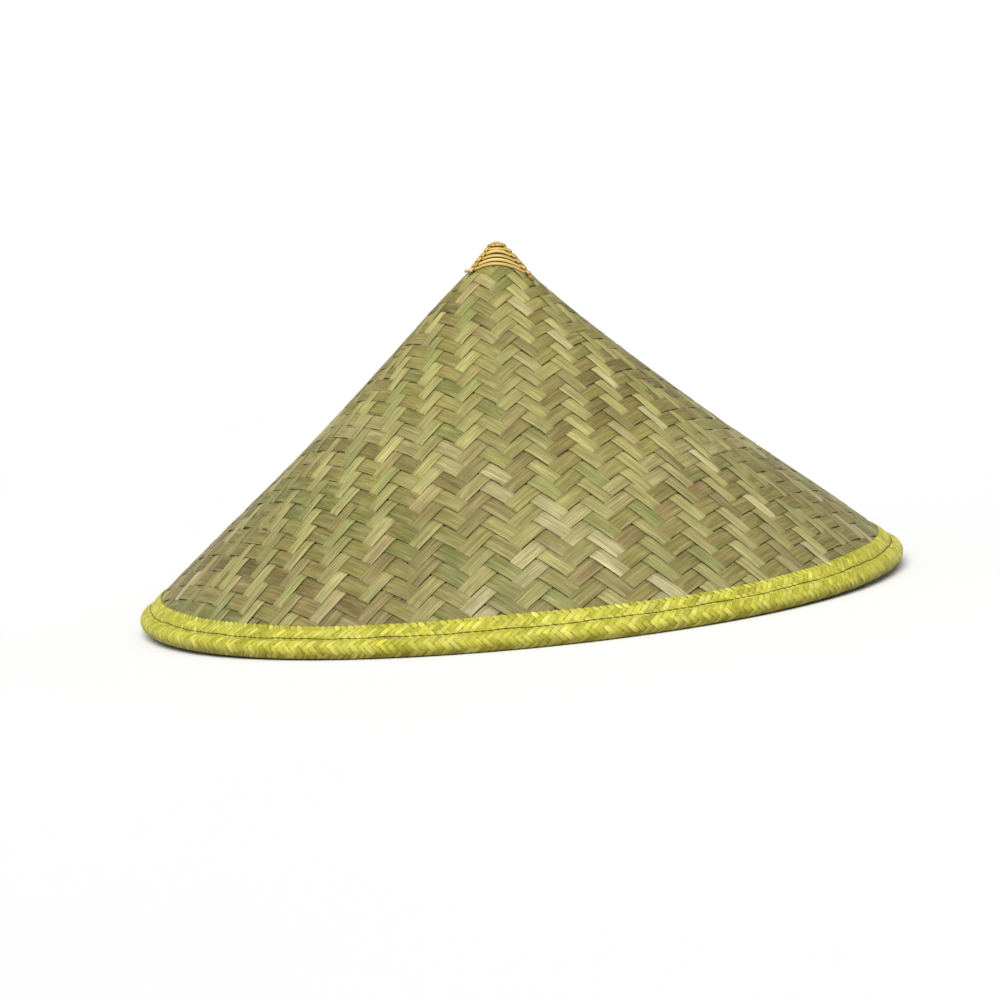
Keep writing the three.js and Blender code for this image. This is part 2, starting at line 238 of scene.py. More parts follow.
def strip(sheaf, place, path, height, width, section, tone, closed=False, tilt=0.0, flip=False, dark=1.0):
    """Lays one strip along a flat path, with a height, width, tilt and tone at each station or for all.

    place turns the path's two coordinates and a height into points of space. flip turns the faces round,
    where place mirrors them. dark is the tone's factor at the strip's two edges: painted shade, the dark
    lines along the edges where shadow falls between strips.
    """
    path = np.asarray(path, float)
    if closed:
        step = np.roll(path, -1, 0) - np.roll(path, 1, 0)
    else:
        step = np.gradient(path, axis=0)
    ahead = step / np.linalg.norm(step, axis=1, keepdims=True)
    side = np.stack([-ahead[:, 1], ahead[:, 0]], -1)
    n = len(path)
    width, height, tilt = (np.broadcast_to(value, n) for value in (width, height, tilt))
    offset = section[None, :, 0] * width[:, None]
    flat = path[:, None, :] + side[:, None, :] * offset[..., None]
    high = height[:, None] + section[None, :, 1] + offset * tilt[:, None]
    points = place(flat[..., 0], flat[..., 1], high)
    along = np.concatenate([[0], np.cumsum(np.linalg.norm(np.diff(path, axis=0), axis=1))])
    serial = GRAIN_ACROSS * (sheaf.strips + 1)
    grain = np.broadcast_arrays(along[:, None] + GRAIN_ALONG * sheaf.strips, offset + serial, serial)
    grain = np.stack(grain, -1)
    tone = np.broadcast_to(np.asarray(tone, float), (n, 3)) if np.ndim(tone) == 1 else tone
    # painted shade: the tone is darkened by dark at the strip's two edges, for the shadow lines between
    # strips
    edge = np.where(np.abs(section[:, 0]) > 0.499, dark, 1.0)
    full = np.ones((n, len(section), 4))
    full[..., :3] = tone[:, None, :] * edge[None, :, None]
    if flip:
        points, grain = points[:, ::-1], grain[:, ::-1]
    sheaf.add(points, grain, full, closed)


def soft_step(x):
    """From 0 at x = -1 to 1 at x = 1."""
    return smooth(0.5 + 0.5 * x)


def linear(r, g, b):
    """An sRGB colour given from 0 to 255, as linear light."""
    c = np.array([r, g, b]) / 255
    return np.where(c > 0.04045, ((c + 0.055) / 1.055) ** 2.4, c / 12.92)


# ---- materials
NOISE_LOW, NOISE_HIGH = 0.3, 0.7  # between which most of a noise lies


class Nodes:
    """A short way to write a shader's nodes."""

    def __init__(self, name):
        self.material = bpy.data.materials.new(name)
        self.material.use_nodes = True
        self.tree = self.material.node_tree
        self.shader = self.tree.nodes["Principled BSDF"]

    def node(self, kind, **settings):
        made = self.tree.nodes.new("ShaderNode" + kind)
        for key, value in settings.items():
            setattr(made, key, value)
        return made

    def link(self, source, target):
        self.tree.links.new(source, target)

    def attribute(self, name, output="Vector"):
        return self.node("Attribute", attribute_name=name).outputs[output]

    def scaled(self, vector, x, y, z):
        made = self.node("VectorMath", operation="MULTIPLY")
        self.link(vector, made.inputs[0])
        made.inputs[1].default_value = (x, y, z)
        return made.outputs[0]

    def noise(self, vector, scale=1.0, detail=2.0, rough=0.5):
        made = self.node("TexNoise")
        self.link(vector, made.inputs["Vector"])
        made.inputs["Scale"].default_value = scale
        made.inputs["Detail"].default_value = detail
        made.inputs["Roughness"].default_value = rough
        return made.outputs["Fac"]

    def ramp(self, value, low, high, to_low, to_high):
        made = self.node("MapRange")
        self.link(value, made.inputs["Value"])
        ends = {"From Min": low, "From Max": high, "To Min": to_low, "To Max": to_high}
        for key, number in ends.items():
            made.inputs[key].default_value = number
        return made.outputs["Result"]

    def spread(self, noise, low, high):
        """A noise stretched over a range."""
        return self.ramp(noise, NOISE_LOW, NOISE_HIGH, low, high)

    def mix(self, amount, first, second):
        """The first colour, and over it a fixed second one by the amount."""
        made = self.node("Mix", data_type="RGBA")
        self.link(amount, made.inputs["Factor"])
        self.link(first, made.inputs["A"])
        made.inputs["B"].default_value = (*second, 1)
        return made.outputs["Result"]

    def times(self, colour, factor):
        """The colour multiplied by a grey factor."""
        made = self.node("VectorMath", operation="SCALE")
        self.link(colour, made.inputs[0])
        self.link(factor, made.inputs["Scale"])
        return made.outputs[0]

    def mottled(self, colour, noise, share):
        """The colour, darkened and lightened by a share."""
        return self.times(colour, self.spread(noise, 1 - share, 1 + share))

    def even(self, colour):
        """One colour, for a noise to mottle."""
        made = self.node("RGB")
        made.outputs[0].default_value = (*colour, 1)
        return made.outputs[0]

    def place(self):
        """The point on the piece, in metres."""
        return self.node("TexCoord").outputs["Object"]

    def bump(self, height, strength, distance):
        made = self.node("Bump")
        made.inputs["Strength"].default_value = strength
        made.inputs["Distance"].default_value = distance
        self.link(height, made.inputs["Height"])
        self.link(made.outputs["Normal"], self.shader.inputs["Normal"])

    def finish(self, colour, rough, specular):
        self.link(colour, self.shader.inputs["Base Color"])
        if isinstance(rough, bpy.types.NodeSocket):
            self.link(rough, self.shader.inputs["Roughness"])
        else:
            self.shader.inputs["Roughness"].default_value = rough
        self.shader.inputs["Specular IOR Level"].default_value = specular
        return self.material


FIBRE_DEPTH = 0.0002  # metres


def fibre_material(name, streaks, contrast, stains_and_highlights, rough, specular, bump, cloud=0.0):
    """Split plant fibre. Streaks run along each strip, and stains lie over its own tone.

    streaks is how many lines fall in a millimetre across the strip, coarse and fine, and contrast is how
    far each darkens and lightens it. cloud does the same in soft patches over the whole piece.
    stains_and_highlights holds an sRGB colour, an amount and a seed for each patch laid over the tone:
    mostly stains, and on the straw one pale painted highlight.
    """
    m = Nodes(name)
    grain = m.attribute("grain")
    tone = m.attribute("tone", "Color")
    coarse = m.noise(m.scaled(grain, 0.03, streaks[0], 0.37), detail=2)
    fine = m.noise(m.scaled(grain, 0.08, streaks[1], 0.51), detail=3, rough=0.6)
    colour = m.mottled(tone, coarse, contrast[0])
    colour = m.mottled(colour, fine, contrast[1])
    if cloud:
        colour = m.mottled(colour, m.noise(m.place(), scale=22, detail=2), cloud)
    for patch_colour, amount, seed in stains_and_highlights:
        patch = m.noise(m.scaled(grain, 0.05, 0.35, seed), detail=2)
        colour = m.mix(m.ramp(patch, 0.5, 0.75, 0.0, amount), colour, linear(*patch_colour))
    m.bump(fine, bump, FIBRE_DEPTH)
    return m.finish(colour, m.spread(coarse, rough - 0.06, rough + 0.08), specular)


def wire_material(name, colour, rough):
    """Bright wire with a fine mottle."""
    m = Nodes(name)
    mottle = m.noise(m.place(), scale=900, detail=3)
    m.bump(mottle, 0.15, 0.0001)
    m.shader.inputs["Metallic"].default_value = 1.0
    colour = m.mottled(m.even(colour), mottle, 0.08)
    return m.finish(colour, m.spread(mottle, rough - 0.05, rough + 0.05), 0.5)


BAMBOO_SKIN = fibre_material(
    "bamboo_skin",
    streaks=(0.8, 2.2),
    contrast=(0.24, 0.34),
    stains_and_highlights=(((138, 110, 66), 0.45, 0.73), ((98, 114, 54), 0.4, 0.91), ((186, 178, 130), 0.35, 1.13)),
    rough=0.5,
    specular=0.22,
    bump=0.4,
    cloud=0.05,
)
BAMBOO_INNER = fibre_material(
    "bamboo_inner",
    streaks=(0.9, 3.0),
    contrast=(0.1, 0.1),
    stains_and_highlights=(((178, 140, 84), 0.4, 0.7),),
    rough=0.58,
    specular=0.35,
    bump=0.4,
)
STRAW = fibre_material(
    "dyed_straw",
    streaks=(2.0, 5.0),
    contrast=(0.18, 0.22),
    # the pale second patch is a painted highlight: paler patches for the straw's shine
    stains_and_highlights=(((150, 148, 30), 0.35, 0.7), ((226, 220, 128), 0.45, 0.9)),
    rough=0.5,
    specular=0.16,
    bump=0.5,
    cloud=0.06,
)
CANE = fibre_material(
    "cane_skin",
    streaks=(1.6, 4.0),
    contrast=(0.12, 0.1),
    stains_and_highlights=(((170, 126, 50), 0.25, 0.7),),
    rough=0.36,
    specular=0.5,
    bump=0.3,
)
LEAF = fibre_material(
    "dried_leaf",
    streaks=(0.5, 2.4),
    contrast=(0.12, 0.16),
    stains_and_highlights=(((110, 84, 46), 0.4, 0.7),),
    rough=0.66,
    specular=0.3,
    bump=0.6,
)
TAPE = fibre_material(
    "woven_tape",
    streaks=(2.0, 6.0),
    contrast=(0.12, 0.12),
    stains_and_highlights=(((80, 66, 40), 0.4, 0.7),),
    rough=0.85,
    specular=0.2,
    bump=0.5,
)
THREAD = fibre_material(
    "dark_thread",
    streaks=(3.0, 8.0),
    contrast=(0.15, 0.15),
    stains_and_highlights=(((60, 58, 20), 0.4, 0.7),),
    rough=0.7,
    specular=0.25,
    bump=0.3,
)
STEEL = wire_material("ring_steel", (0.62, 0.62, 0.6), rough=0.3)


# ---- tones
def tone_list(*rows):
    """Tones from rows of a share of the strips and an sRGB colour."""
    return [(share, linear(*colour)) for share, *colour in rows]


BAMBOO_TONES = tone_list(
    (0.30, 155, 147, 83),
    (0.20, 162, 154, 88),
    (0.14, 141, 141, 76),
    (0.12, 160, 145, 89),
    (0.12, 137, 124, 71),
    (0.12, 178, 170, 112),
)
STRAW_TONES = tone_list(
    (0.4, 193, 187, 70),
    (0.25, 183, 177, 60),
    (0.2, 206, 201, 92),
    (0.15, 172, 165, 54),
)
LEAF_TONES = tone_list(
    (0.4, 160, 133, 79),
    (0.3, 153, 125, 72),
    (0.2, 169, 144, 89),
    (0.1, 144, 116, 67),
)
INNER_TONES = tone_list(
    (0.5, 206, 182, 124),
    (0.3, 196, 168, 108),
    (0.2, 214, 194, 142),
)
CANE_TONES = tone_list(
    (0.5, 206, 174, 92),
    (0.3, 220, 192, 114),
    (0.2, 186, 150, 72),
)


def pick_tone(tones):
    """One of the tones, a little off in lightness and in colour."""
    shares = np.array([share for share, _ in tones])
    chosen = tones[rng.choice(len(tones), p=shares / shares.sum())][1]
    return chosen * rng.uniform(0.93, 1.07) * rng.uniform(0.985, 1.015, 3)


# ---- the woven wall
# Three families of strips lie square to the rays at these azimuths. Neighbouring rays are a quarter turn
# apart on the flat pattern, so neighbouring families cross at right angles on the face between them.
FAMILIES = {"left": -60.0, "right": 60.0, "back": 180.0}
ORDER = list(FAMILIES)  # by azimuth; each family's next neighbour follows it
WEAVE_MIDDLE = -0.62  # height of the weave's middle from the surface
WEAVE_LIFT = 0.4  # how far a strip rises over its crossings and sinks under them
STRIP_THICKNESS = 0.42
FIRST_STRIP = 0.4  # slant distance of the first strip's upper edge
TWILL_SHIFT = -1
LOOSENESS = {"left": 1.0, "right": 1.02, "back": 1.0}  # one family lies a little wider
PITCH_AT_TIP = 6.5
PITCH_GROWTH = 5.0  # how much wider the strips lie at the growth's slant distance
GROWTH_SLANT = 283
LAST_ROOM = 4  # the last strip starts at least this far above the layers' end
STATION = 1.7  # step between a strip's sections
BEND_REACH = 2.4  # half the length in which a strip passes from over to under
END_ROOM = 12  # how far past a strip's end its crossings still bend it
ACROSS_SHEEN = np.array((0.77, 0.73, 0.68))  # painted sheen: strips that run round the hat get none and are made browner
DOWN_SHEEN = np.array((1.18, 1.2, 1.38))  # and strips that run down it are made paler by it
WALL_TONE = 0.985
RIM_DARKENING = np.array((0.14, 0.14, 0.02))  # how much darker and greyer the wall is at the rim


def strip_rows(looseness):
    """The centres and pitches of one family's strips, from the tip to the rim."""
    rows = []
    edge = FIRST_STRIP
    while edge < SLANT_END - LAST_ROOM:
        pitch = (PITCH_AT_TIP + PITCH_GROWTH * edge / GROWTH_SLANT) * rng.uniform(0.93, 1.07) * looseness
        rows.append((edge + pitch / 2, pitch))
        edge += pitch
    return rows


def crossings(before, after, i):
    """Where strip i meets the strips of its two neighbours: their places, pitches, and if it is over."""
    marks = []
    for k in reversed(range(len(before))):
        centre, pitch = before[k]
        marks.append((-centre, pitch, (k - i + TWILL_SHIFT) % 4 >= 2))
    for j, (centre, pitch) in enumerate(after):
        marks.append((centre, pitch, (i - j + TWILL_SHIFT) % 4 < 2))
    return marks


def woven_height(x, marks):
    """The height along a strip: up over some crossings, down under the others."""
    height = np.full(len(x), WEAVE_LIFT if marks[0][2] else -WEAVE_LIFT)
    for (place, pitch, over), (next_place, next_pitch, next_over) in zip(marks, marks[1:]):
        if over != next_over:
            edge = (place + pitch / 2 + next_place - next_pitch / 2) / 2
            change = 2 * WEAVE_LIFT if next_over else -2 * WEAVE_LIFT
            height += change * soft_step((x - edge) / BEND_REACH)
    return height


def per_crossing(x, marks, low, high):
    """A value that changes a little from float to float along a strip."""
    places = np.array([mark[0] for mark in marks])
    values = rng.uniform(low, high, len(marks))
    return np.interp(x, places, values)


def wall_strip(bundle, place, centre, pitch, before, after, i):
    """Strip i of a family, woven through the families on its two sides."""
    half = math.sqrt(max(SLANT_END**2 - centre**2, 40))
    x = np.linspace(-half, half, int(2 * half / STATION) + 2)
    marks = [mark for mark in crossings(before, after, i) if abs(mark[0]) < half + END_ROOM]
    wave = woven_height(x, marks)
    height = WEAVE_MIDDLE + wave + rng.uniform(-0.03, 0.03)
    # painted shade: a strip's tone falls to about half where it sinks under its crossings
    painted_shading = 0.5 + 0.5 * soft_step(wave / WEAVE_LIFT + 0.35)
    slant = x**2 + centre**2
    downhill = smooth(x**2 / slant)[:, None] * rng.uniform(0.8, 1.15)
    wander = 0.35 * np.sin(x / rng.uniform(40, 90) + rng.uniform(0, 6.3))
    path = np.stack([x, centre + wander], -1)
    width = pitch * rng.uniform(0.92, 0.97)
    tilt = per_crossing(x, marks, -0.055, 0.055)
    tone = pick_tone(BAMBOO_TONES) * (painted_shading * per_crossing(x, marks, 0.84, 1.13))[:, None]
    # painted sheen: paler where the strip runs down the slope, browner where it runs round the hat
    tone = tone * (ACROSS_SHEEN + (DOWN_SHEEN - ACROSS_SHEEN) * downhill)
    # darker and greyer towards the rim
    tone = tone * (WALL_TONE - RIM_DARKENING * (slant / SLANT_END**2)[:, None])
    section = flat_section(width, STRIP_THICKNESS, crown=0.05)
    strip(bundle, place, path, height, width, section, tone, tilt=tilt, dark=0.45)


def weave():
    """The three families, each in three pieces: near the tip, in the middle and near the rim."""
    rows = {name: strip_rows(LOOSENESS[name]) for name in ORDER}
    for family, name in enumerate(ORDER):
        before = rows[ORDER[family - 1]]
        after = rows[ORDER[(family + 1) % 3]]
        place = on_wall(FAMILIES[name])
        bundles = [Sheaf() for _ in range(3)]
        for i, (centre, pitch) in enumerate(rows[name]):
            bundle = bundles[min(3 * i // len(rows[name]), 2)]
            wall_strip(bundle, place, centre, pitch, before, after, i)
        for number, bundle in enumerate(bundles):
            nodes = ["outer_weave"] if family == 0 and number == 0 else []
            bundle.build(f"weave_{name}_{number + 1}", BAMBOO_SKIN, "outer_bamboo", nodes)


# ---- the bound edge
EDGE_SLOPE = math.atan(-surface_slope(SURFACE_RADIUS))
EDGE_CENTRE = (RIM_RADIUS - EDGE_RADIUS, EDGE_RADIUS)
BRAID_FLAT = 3.2  # how far the braid's middle stands from the wall's middle, on either side
BRAID_FOLD = 4.45  # radius of its middle where it folds round the lip
FOLD_START = math.acos(BRAID_FLAT / BRAID_FOLD)
FOLD_INWARD = BRAID_FOLD * math.sin(FOLD_START)  # how far up the slope the fold begins
UPPER_RUN = 10.0  # width of the band outside
FOLD_RUN = BRAID_FOLD * (math.pi + 2 * FOLD_START)
UNDER_RUN = 9.4  # and inside
BRAID_WIDTH = UPPER_RUN + FOLD_RUN + UNDER_RUN
SEAM = UPPER_RUN - 1.3  # how far from the braid's upper edge the stitching runs
SEAM_SINK = 0.65  # how deep the stitching pulls the braid in
SEAM_REACH = 0.8
EDGE_TUCK = 0.45  # how far the upper edge leans in to the wall
TUCK_REACH = 2
FLOOR_ROOM = 0.05  # the braid stays this far above what the hat stands on
WIDE_AZIMUTH = -0.09  # where the upper band is widest, in radians
WIDE_REACH = 0.32
RIM_LENGTH = 2 * math.pi * RIM_RADIUS


def upper_stretch(azimuth):
    """The upper band is a little wider at the front, and its width wanders."""
    a = (azimuth + math.pi) % (2 * math.pi) - math.pi
    front = np.exp(-(((a - WIDE_AZIMUTH) / WIDE_REACH) ** 2))
    return 0.93 + 0.14 * front + 0.02 * np.sin(7 * a + 1) + 0.015 * np.sin(17 * a + 2)


def off_edge(azimuth, inward, proud):
    """Points up the slope from the centre of the edge's circle, and out from the wall."""
    c, s = math.cos(EDGE_SLOPE), math.sin(EDGE_SLOPE)
    radius = EDGE_CENTRE[0] - inward * c + proud * s
    return turned(azimuth, radius, EDGE_CENTRE[1] + inward * s + proud * c)


def on_edge(along, down, height):
    """Places points of the braid: along the rim, and down its width from the upper edge outside."""
    azimuth = along / RIM_RADIUS
    fold = np.clip(down - UPPER_RUN, 0, FOLD_RUN)
    angle = FOLD_START - fold / BRAID_FOLD
    above = np.maximum(UPPER_RUN - down, 0) * upper_stretch(azimuth)
    under = np.maximum(down - UPPER_RUN - FOLD_RUN, 0)
    sink = SEAM_SINK * np.exp(-(((down - SEAM) / SEAM_REACH) ** 2))
    flat = (above > 0) | (under > 0)
    outward = np.where(flat, np.sign(np.cos(angle)), np.cos(angle))
    inward = FOLD_INWARD + above + under
    inward = np.where(flat, inward, (BRAID_FOLD + height) * np.sin(angle))
    proud = np.where(flat, BRAID_FLAT * outward, BRAID_FOLD * outward)
    tuck = EDGE_TUCK * np.exp(-((down / TUCK_REACH) ** 2))
    points = off_edge(azimuth, inward, proud + outward * (height - sink - tuck))
    points[..., 2] = np.maximum(points[..., 2], FLOOR_ROOM)
    return points


BRAID_STRANDS = 328  # strands of each hand round the rim
BRAID_PITCH = RIM_LENGTH / BRAID_STRANDS  # along the rim
BRAID_CELL = BRAID_PITCH / 2  # the step between crossings
BRAID_LIFT = 0.17
BRAID_SNAP = 1.6  # how sharply a straw passes from over to under
STRAW_FILL = 0.94  # a straw's width as a share of its room
STRAW_THICKNESS = 0.28
END_TAPER = 1.1  # length in which a straw narrows at its ends
LIP = UPPER_RUN + 0.37 * FOLD_RUN  # where the braid turns under
LIP_REACH = 3
UNDERSIDE_SHADE = np.array((0.56, 0.6, 0.7))  # painted shade: how much darker the braid is below the lip


def braid():
    """A flat plait of straws at half a right angle to the rim, over two and under two, in four pieces."""
    sheaves = [Sheaf() for _ in range(4)]
    steps = 3 * int(BRAID_WIDTH / BRAID_CELL)
    down = np.linspace(0, BRAID_WIDTH, steps + 1)
    width = BRAID_PITCH / math.sqrt(2) * STRAW_FILL
    taper = np.sqrt(np.clip(np.minimum(down, BRAID_WIDTH - down) / END_TAPER, 0.02, 1))
    section = flat_section(width, STRAW_THICKNESS, crown=0.12, bevel=0.1)
    # painted shade: the braid darkens below the lip, where it turns under
    underside_shade = 1 - UNDERSIDE_SHADE * soft_step((down - LIP) / LIP_REACH)[:, None]
    calm = 1 - 0.6 * np.exp(-((down - SEAM) ** 2))
    spots = np.arange(0, BRAID_WIDTH + 2, 2 * BRAID_CELL)
    for hand in (1, -1):
        wave = hand * np.sin((down / BRAID_CELL + 0.5) * math.pi / 2)
        height = BRAID_LIFT * calm * np.tanh(BRAID_SNAP * wave) / math.tanh(BRAID_SNAP)
        # painted shade and highlight: a straw is darker where it dips under a crossing and a little
        # lighter on top, times the painted shade below the lip
        painted_shading = (0.74 + 0.29 * soft_step(1.2 * wave))[:, None] * underside_shade
        for k in range(BRAID_STRANDS):
            start = k * BRAID_PITCH + rng.uniform(-0.2, 0.2)
            path = np.stack([start + hand * down, down], -1)
            mottle = np.interp(down, spots, rng.uniform(0.82, 1.15, len(spots)))
            tone = pick_tone(STRAW_TONES) * painted_shading * mottle[:, None]
            middle = (start + hand * BRAID_WIDTH / 2) / RIM_LENGTH % 1
            sheaf = sheaves[int(4 * middle)]
            rise = height + rng.uniform(-0.05, 0.05)
            broad = width * rng.uniform(0.93, 1.04)
            strip(sheaf, on_edge, path, rise, broad * taper, section, tone, flip=True, dark=0.78)
    for number, sheaf in enumerate(sheaves):
        nodes = ["edge_braid"] if number == 0 else []
        sheaf.build(f"edge_braid_{number + 1}", STRAW, "straw_braid", nodes)


HOOP_ROUND = 3.65  # radius of the rim hoops' backs
HOOP_FLAT = 2.68  # and how far their flat faces stand from the middle of the wall


def rim_hoops():
    """Two half-round hoops that clamp the wall's layers inside the braid."""
    half = math.acos(HOOP_FLAT / HOOP_ROUND)
    width = 2 * HOOP_ROUND * math.sin(half)
    a = np.linspace(half, -half, 9)
    section = HOOP_ROUND * np.stack([np.sin(a) / width, np.cos(a)], -1)
    path = level_path(RIM_LENGTH, 360, 0)

    def on_core(along, inward, proud):
        return off_edge(along / RIM_RADIUS, inward, proud)

    for name, side in (("rim_hoop_outer", 1), ("rim_hoop_inner", -1)):
        hoop = Sheaf()
        tone = pick_tone(INNER_TONES)
        strip(hoop, on_core, path, 0, width, side * section, tone, closed=True)
        hoop.build(f"{name}_half_round", BAMBOO_INNER, "rim_bamboo", [name])


STITCH = 3.6
STITCH_STATIONS = 5
SEAM_THICKNESS = 0.6


def seam():
    """The stitching: one dark thread in the groove, which dips at every stitch."""
    sheaf = Sheaf()
    count = STITCH_STATIONS * int(RIM_LENGTH / STITCH)
    path = level_path(RIM_LENGTH, count, SEAM)
    azimuth = path[:, 0] / RIM_RADIUS
    path[:, 1] += 0.2 * np.sin(23 * azimuth) + 0.12 * np.sin(61 * azimuth + 1)
    height = 0.42 + 0.08 * np.cos(2 * math.pi * np.arange(count) / STITCH_STATIONS)
    section = round_section(SEAM_THICKNESS, 6)
    tone = linear(84, 80, 24)
    strip(sheaf, on_edge, path, height, SEAM_THICKNESS, section, tone, closed=True, flip=True)
    sheaf.build("seam_stitching", THREAD, "thread", ["seam_thread"])


# ---- the lining and the lattice
LEAF_MIDDLE = -1.85  # height of the lining's middle from the wall's surface
LEAF_THICKNESS = 0.1
LEAF_RINGS = (
    # the number of leaves, the slant distances of their ends, and how far off the middle they lie
    (26, 108.0, SLANT_END - 0.5, -0.12),
    (17, 8.0, 176.0, 0.1),
)
LEAF_LAP = 0.16  # how far one side of a leaf lies above the other
LEAF_TAPER = 0.25  # share of its length over which a leaf narrows to its upper end
SPLINT_COUNT = 9
SPLINT_OFFSET = 48.0  # how far from the tip each splint passes, on the flat pattern
SPLINT_WIDTH = 4.3
SPLINT_THICKNESS = 0.5
OUTER_SPLINT = -2.7  # heights of the lattice's layers from the wall's surface
HOOP_LAYER = -3.6
INNER_SPLINT = -4.5
LATTICE_HOOP_RADII = (42, 72, 103, 138, 172)
LATTICE_HOOP_WIDTH = 4.8


def leaf_section(thickness):
    """A leaf's section, with a rib down its middle."""
    share = np.linspace(-0.5, 0.5, 9)
    rib = 0.12 * np.exp(-((share / 0.03) ** 2))
    over = np.stack([share, np.full(9, thickness / 2)], -1)
    under = np.stack([share, -thickness / 2 - rib], -1)
    return np.vstack([over[::-1], under])


def lining():
    """Dried leaves laid like shingles, in a lower ring and an upper ring that laps over it."""
    sheaf = Sheaf()
    for count, start, end, lift in LEAF_RINGS:
        arc = 2 * math.pi * CONE_RATIO / count
        for k in range(count):
            ray = 360 / count * (k + rng.uniform(-0.12, 0.12))
            down = np.linspace(start, end + rng.uniform(-6, 0), 46)
            t = (down - down[0]) / (down[-1] - down[0])
            broad = arc * np.minimum(down + 10, 0.72 * end) * rng.uniform(1.25, 1.4)
            pointed = np.sqrt(np.clip(t / LEAF_TAPER, 0.01, 1))
            if end > LEAF_RINGS[1][2]:  # the lower ring's leaves stay broad down to the rim
                broad = arc * down * rng.uniform(1.3, 1.45)
            else:
                pointed = pointed * np.sqrt(np.clip((1.02 - t) / 0.3, 0.01, 1))
            bend = rng.uniform(-5, 5) * np.sin(math.pi * t)
            path = np.stack([bend, down], -1)
            width = broad * pointed
            height = LEAF_MIDDLE + lift + 0.03 * np.sin(9 * t + rng.uniform(0, 6))
            tilt = LEAF_LAP / np.maximum(width, 8)
            tone = pick_tone(LEAF_TONES)
            strip(sheaf, on_wall(ray), path, height, width, leaf_section(LEAF_THICKNESS), tone, tilt=tilt)
    sheaf.build("leaf_shingles", LEAF, "leaf", ["leaf_lining"], sharp=60)


def on_ring(ring_radius):
    """Places points of a level ring on the wall, from the distance along it and the slant distance."""

    def place(along, down, height):
        return off_wall(along / ring_radius, down * CONE_RATIO, height)

    return place


def lattice():
    """Nine splints in one piece, which pass from the outer layer to the inner one, and five hoops."""
    splints = Sheaf()
    half = math.sqrt(SLANT_END**2 - SPLINT_OFFSET**2) - 1
    u = np.linspace(-1, 1, 91)
    x = half * np.sinh(3 * u) / math.sinh(3)  # closer together in the middle, where a splint bends most
    height = OUTER_SPLINT + (INNER_SPLINT - OUTER_SPLINT) * soft_step(x / 5)
    section = flat_section(SPLINT_WIDTH, SPLINT_THICKNESS, crown=0.03, bevel=0.15)
    for k in range(SPLINT_COUNT):
        path = np.stack([x, SPLINT_OFFSET + 0.3 * np.sin(x / 60 + k)], -1)
        place = on_wall(360 / SPLINT_COUNT * k)
        strip(splints, place, path, height, rng.uniform(4.1, 4.4), section, pick_tone(INNER_TONES))
    names = [f"lattice_splint_{k + 1}" for k in range(SPLINT_COUNT)]
    splints.build("lattice_splints", BAMBOO_INNER, "lattice_bamboo", names)

    for number, radius in enumerate(LATTICE_HOOP_RADII):
        hoop = Sheaf()
        count = max(int(radius * 1.2), 72)
        path = level_path(2 * math.pi * radius, count, radius / CONE_RATIO)
        tone = pick_tone(INNER_TONES)
        strip(hoop, on_ring(radius), path, HOOP_LAYER, LATTICE_HOOP_WIDTH, section, tone, closed=True)
        node = f"lattice_hoop_{number + 1}"
        hoop.build(f"{node}_split", BAMBOO_INNER, "lattice_bamboo", [node])


# ---- the head band
BAND_MIDDLE = 88.6  # radius of the band's middle
BAND_BOTTOM = 66.0
BAND_TOP = 98.0
BAND_ROWS = ((66.2, 74.4), (74.8, 82.8), (83.2, 91.2), (93.3, 97.8))  # bottoms and tops
BAND_THICKNESS = 0.34  # of its splints and stakes
BAND_LIFT = 0.2
STAKE_COUNT = 60
STAKE_WIDTH = 4.8
STAKE_REACH = 1.2  # half the length in which a stake crosses over
HOOP_MIDDLE = 90.75  # radius of the middle of the band's hoops
HOOP_SIZE = (3.9, 2.4)  # their height and depth
HOOP_HEIGHTS = {"head_band_upper_hoop": 95.5, "head_band_lower_hoop": 68.0}


def on_drum(radius):
    """Places points of an upright band: the distance along it, the fall below its top, and outwards."""

    def place(along, down, height):
        return turned(along / radius, radius + height, BAND_TOP - down)

    return place


def head_band():
    """A thin band in plain weave: four rounds of splint, and stakes that cross them."""
    band = Sheaf()
    place = on_drum(BAND_MIDDLE)
    girth = 2 * math.pi * BAND_MIDDLE
    stake = girth / STAKE_COUNT
    for row, (bottom, top) in enumerate(BAND_ROWS):
        path = level_path(girth, 8 * STAKE_COUNT, BAND_TOP - (bottom + top) / 2)
        wave = np.sin(math.pi * path[:, 0] / stake) * (-1) ** row
        section = flat_section(top - bottom, BAND_THICKNESS, crown=0.02, bevel=0.1)
        tone = pick_tone(INNER_TONES)
        strip(band, place, path, BAND_LIFT * wave, top - bottom, section, tone, closed=True)
    fall = np.linspace(0.2, BAND_TOP - BAND_BOTTOM - 0.2, 40)
    rise = BAND_TOP - fall
    section = flat_section(STAKE_WIDTH, BAND_THICKNESS, crown=0.02, bevel=0.1)
    for k in range(STAKE_COUNT):
        over = np.zeros(len(rise))
        for row, (bottom, top) in enumerate(BAND_ROWS):
            inside = soft_step((rise - bottom) / STAKE_REACH) * soft_step((top - rise) / STAKE_REACH)
            over -= (-1) ** (row + k) * inside
        path = np.stack([np.full(len(fall), (k + 0.5) * stake), fall], -1)
        tone = pick_tone(INNER_TONES)
        strip(band, place, path, BAND_LIFT * over, STAKE_WIDTH, section, tone, flip=True)
    band.build("head_band_woven", BAMBOO_INNER, "band_bamboo", ["head_band"])


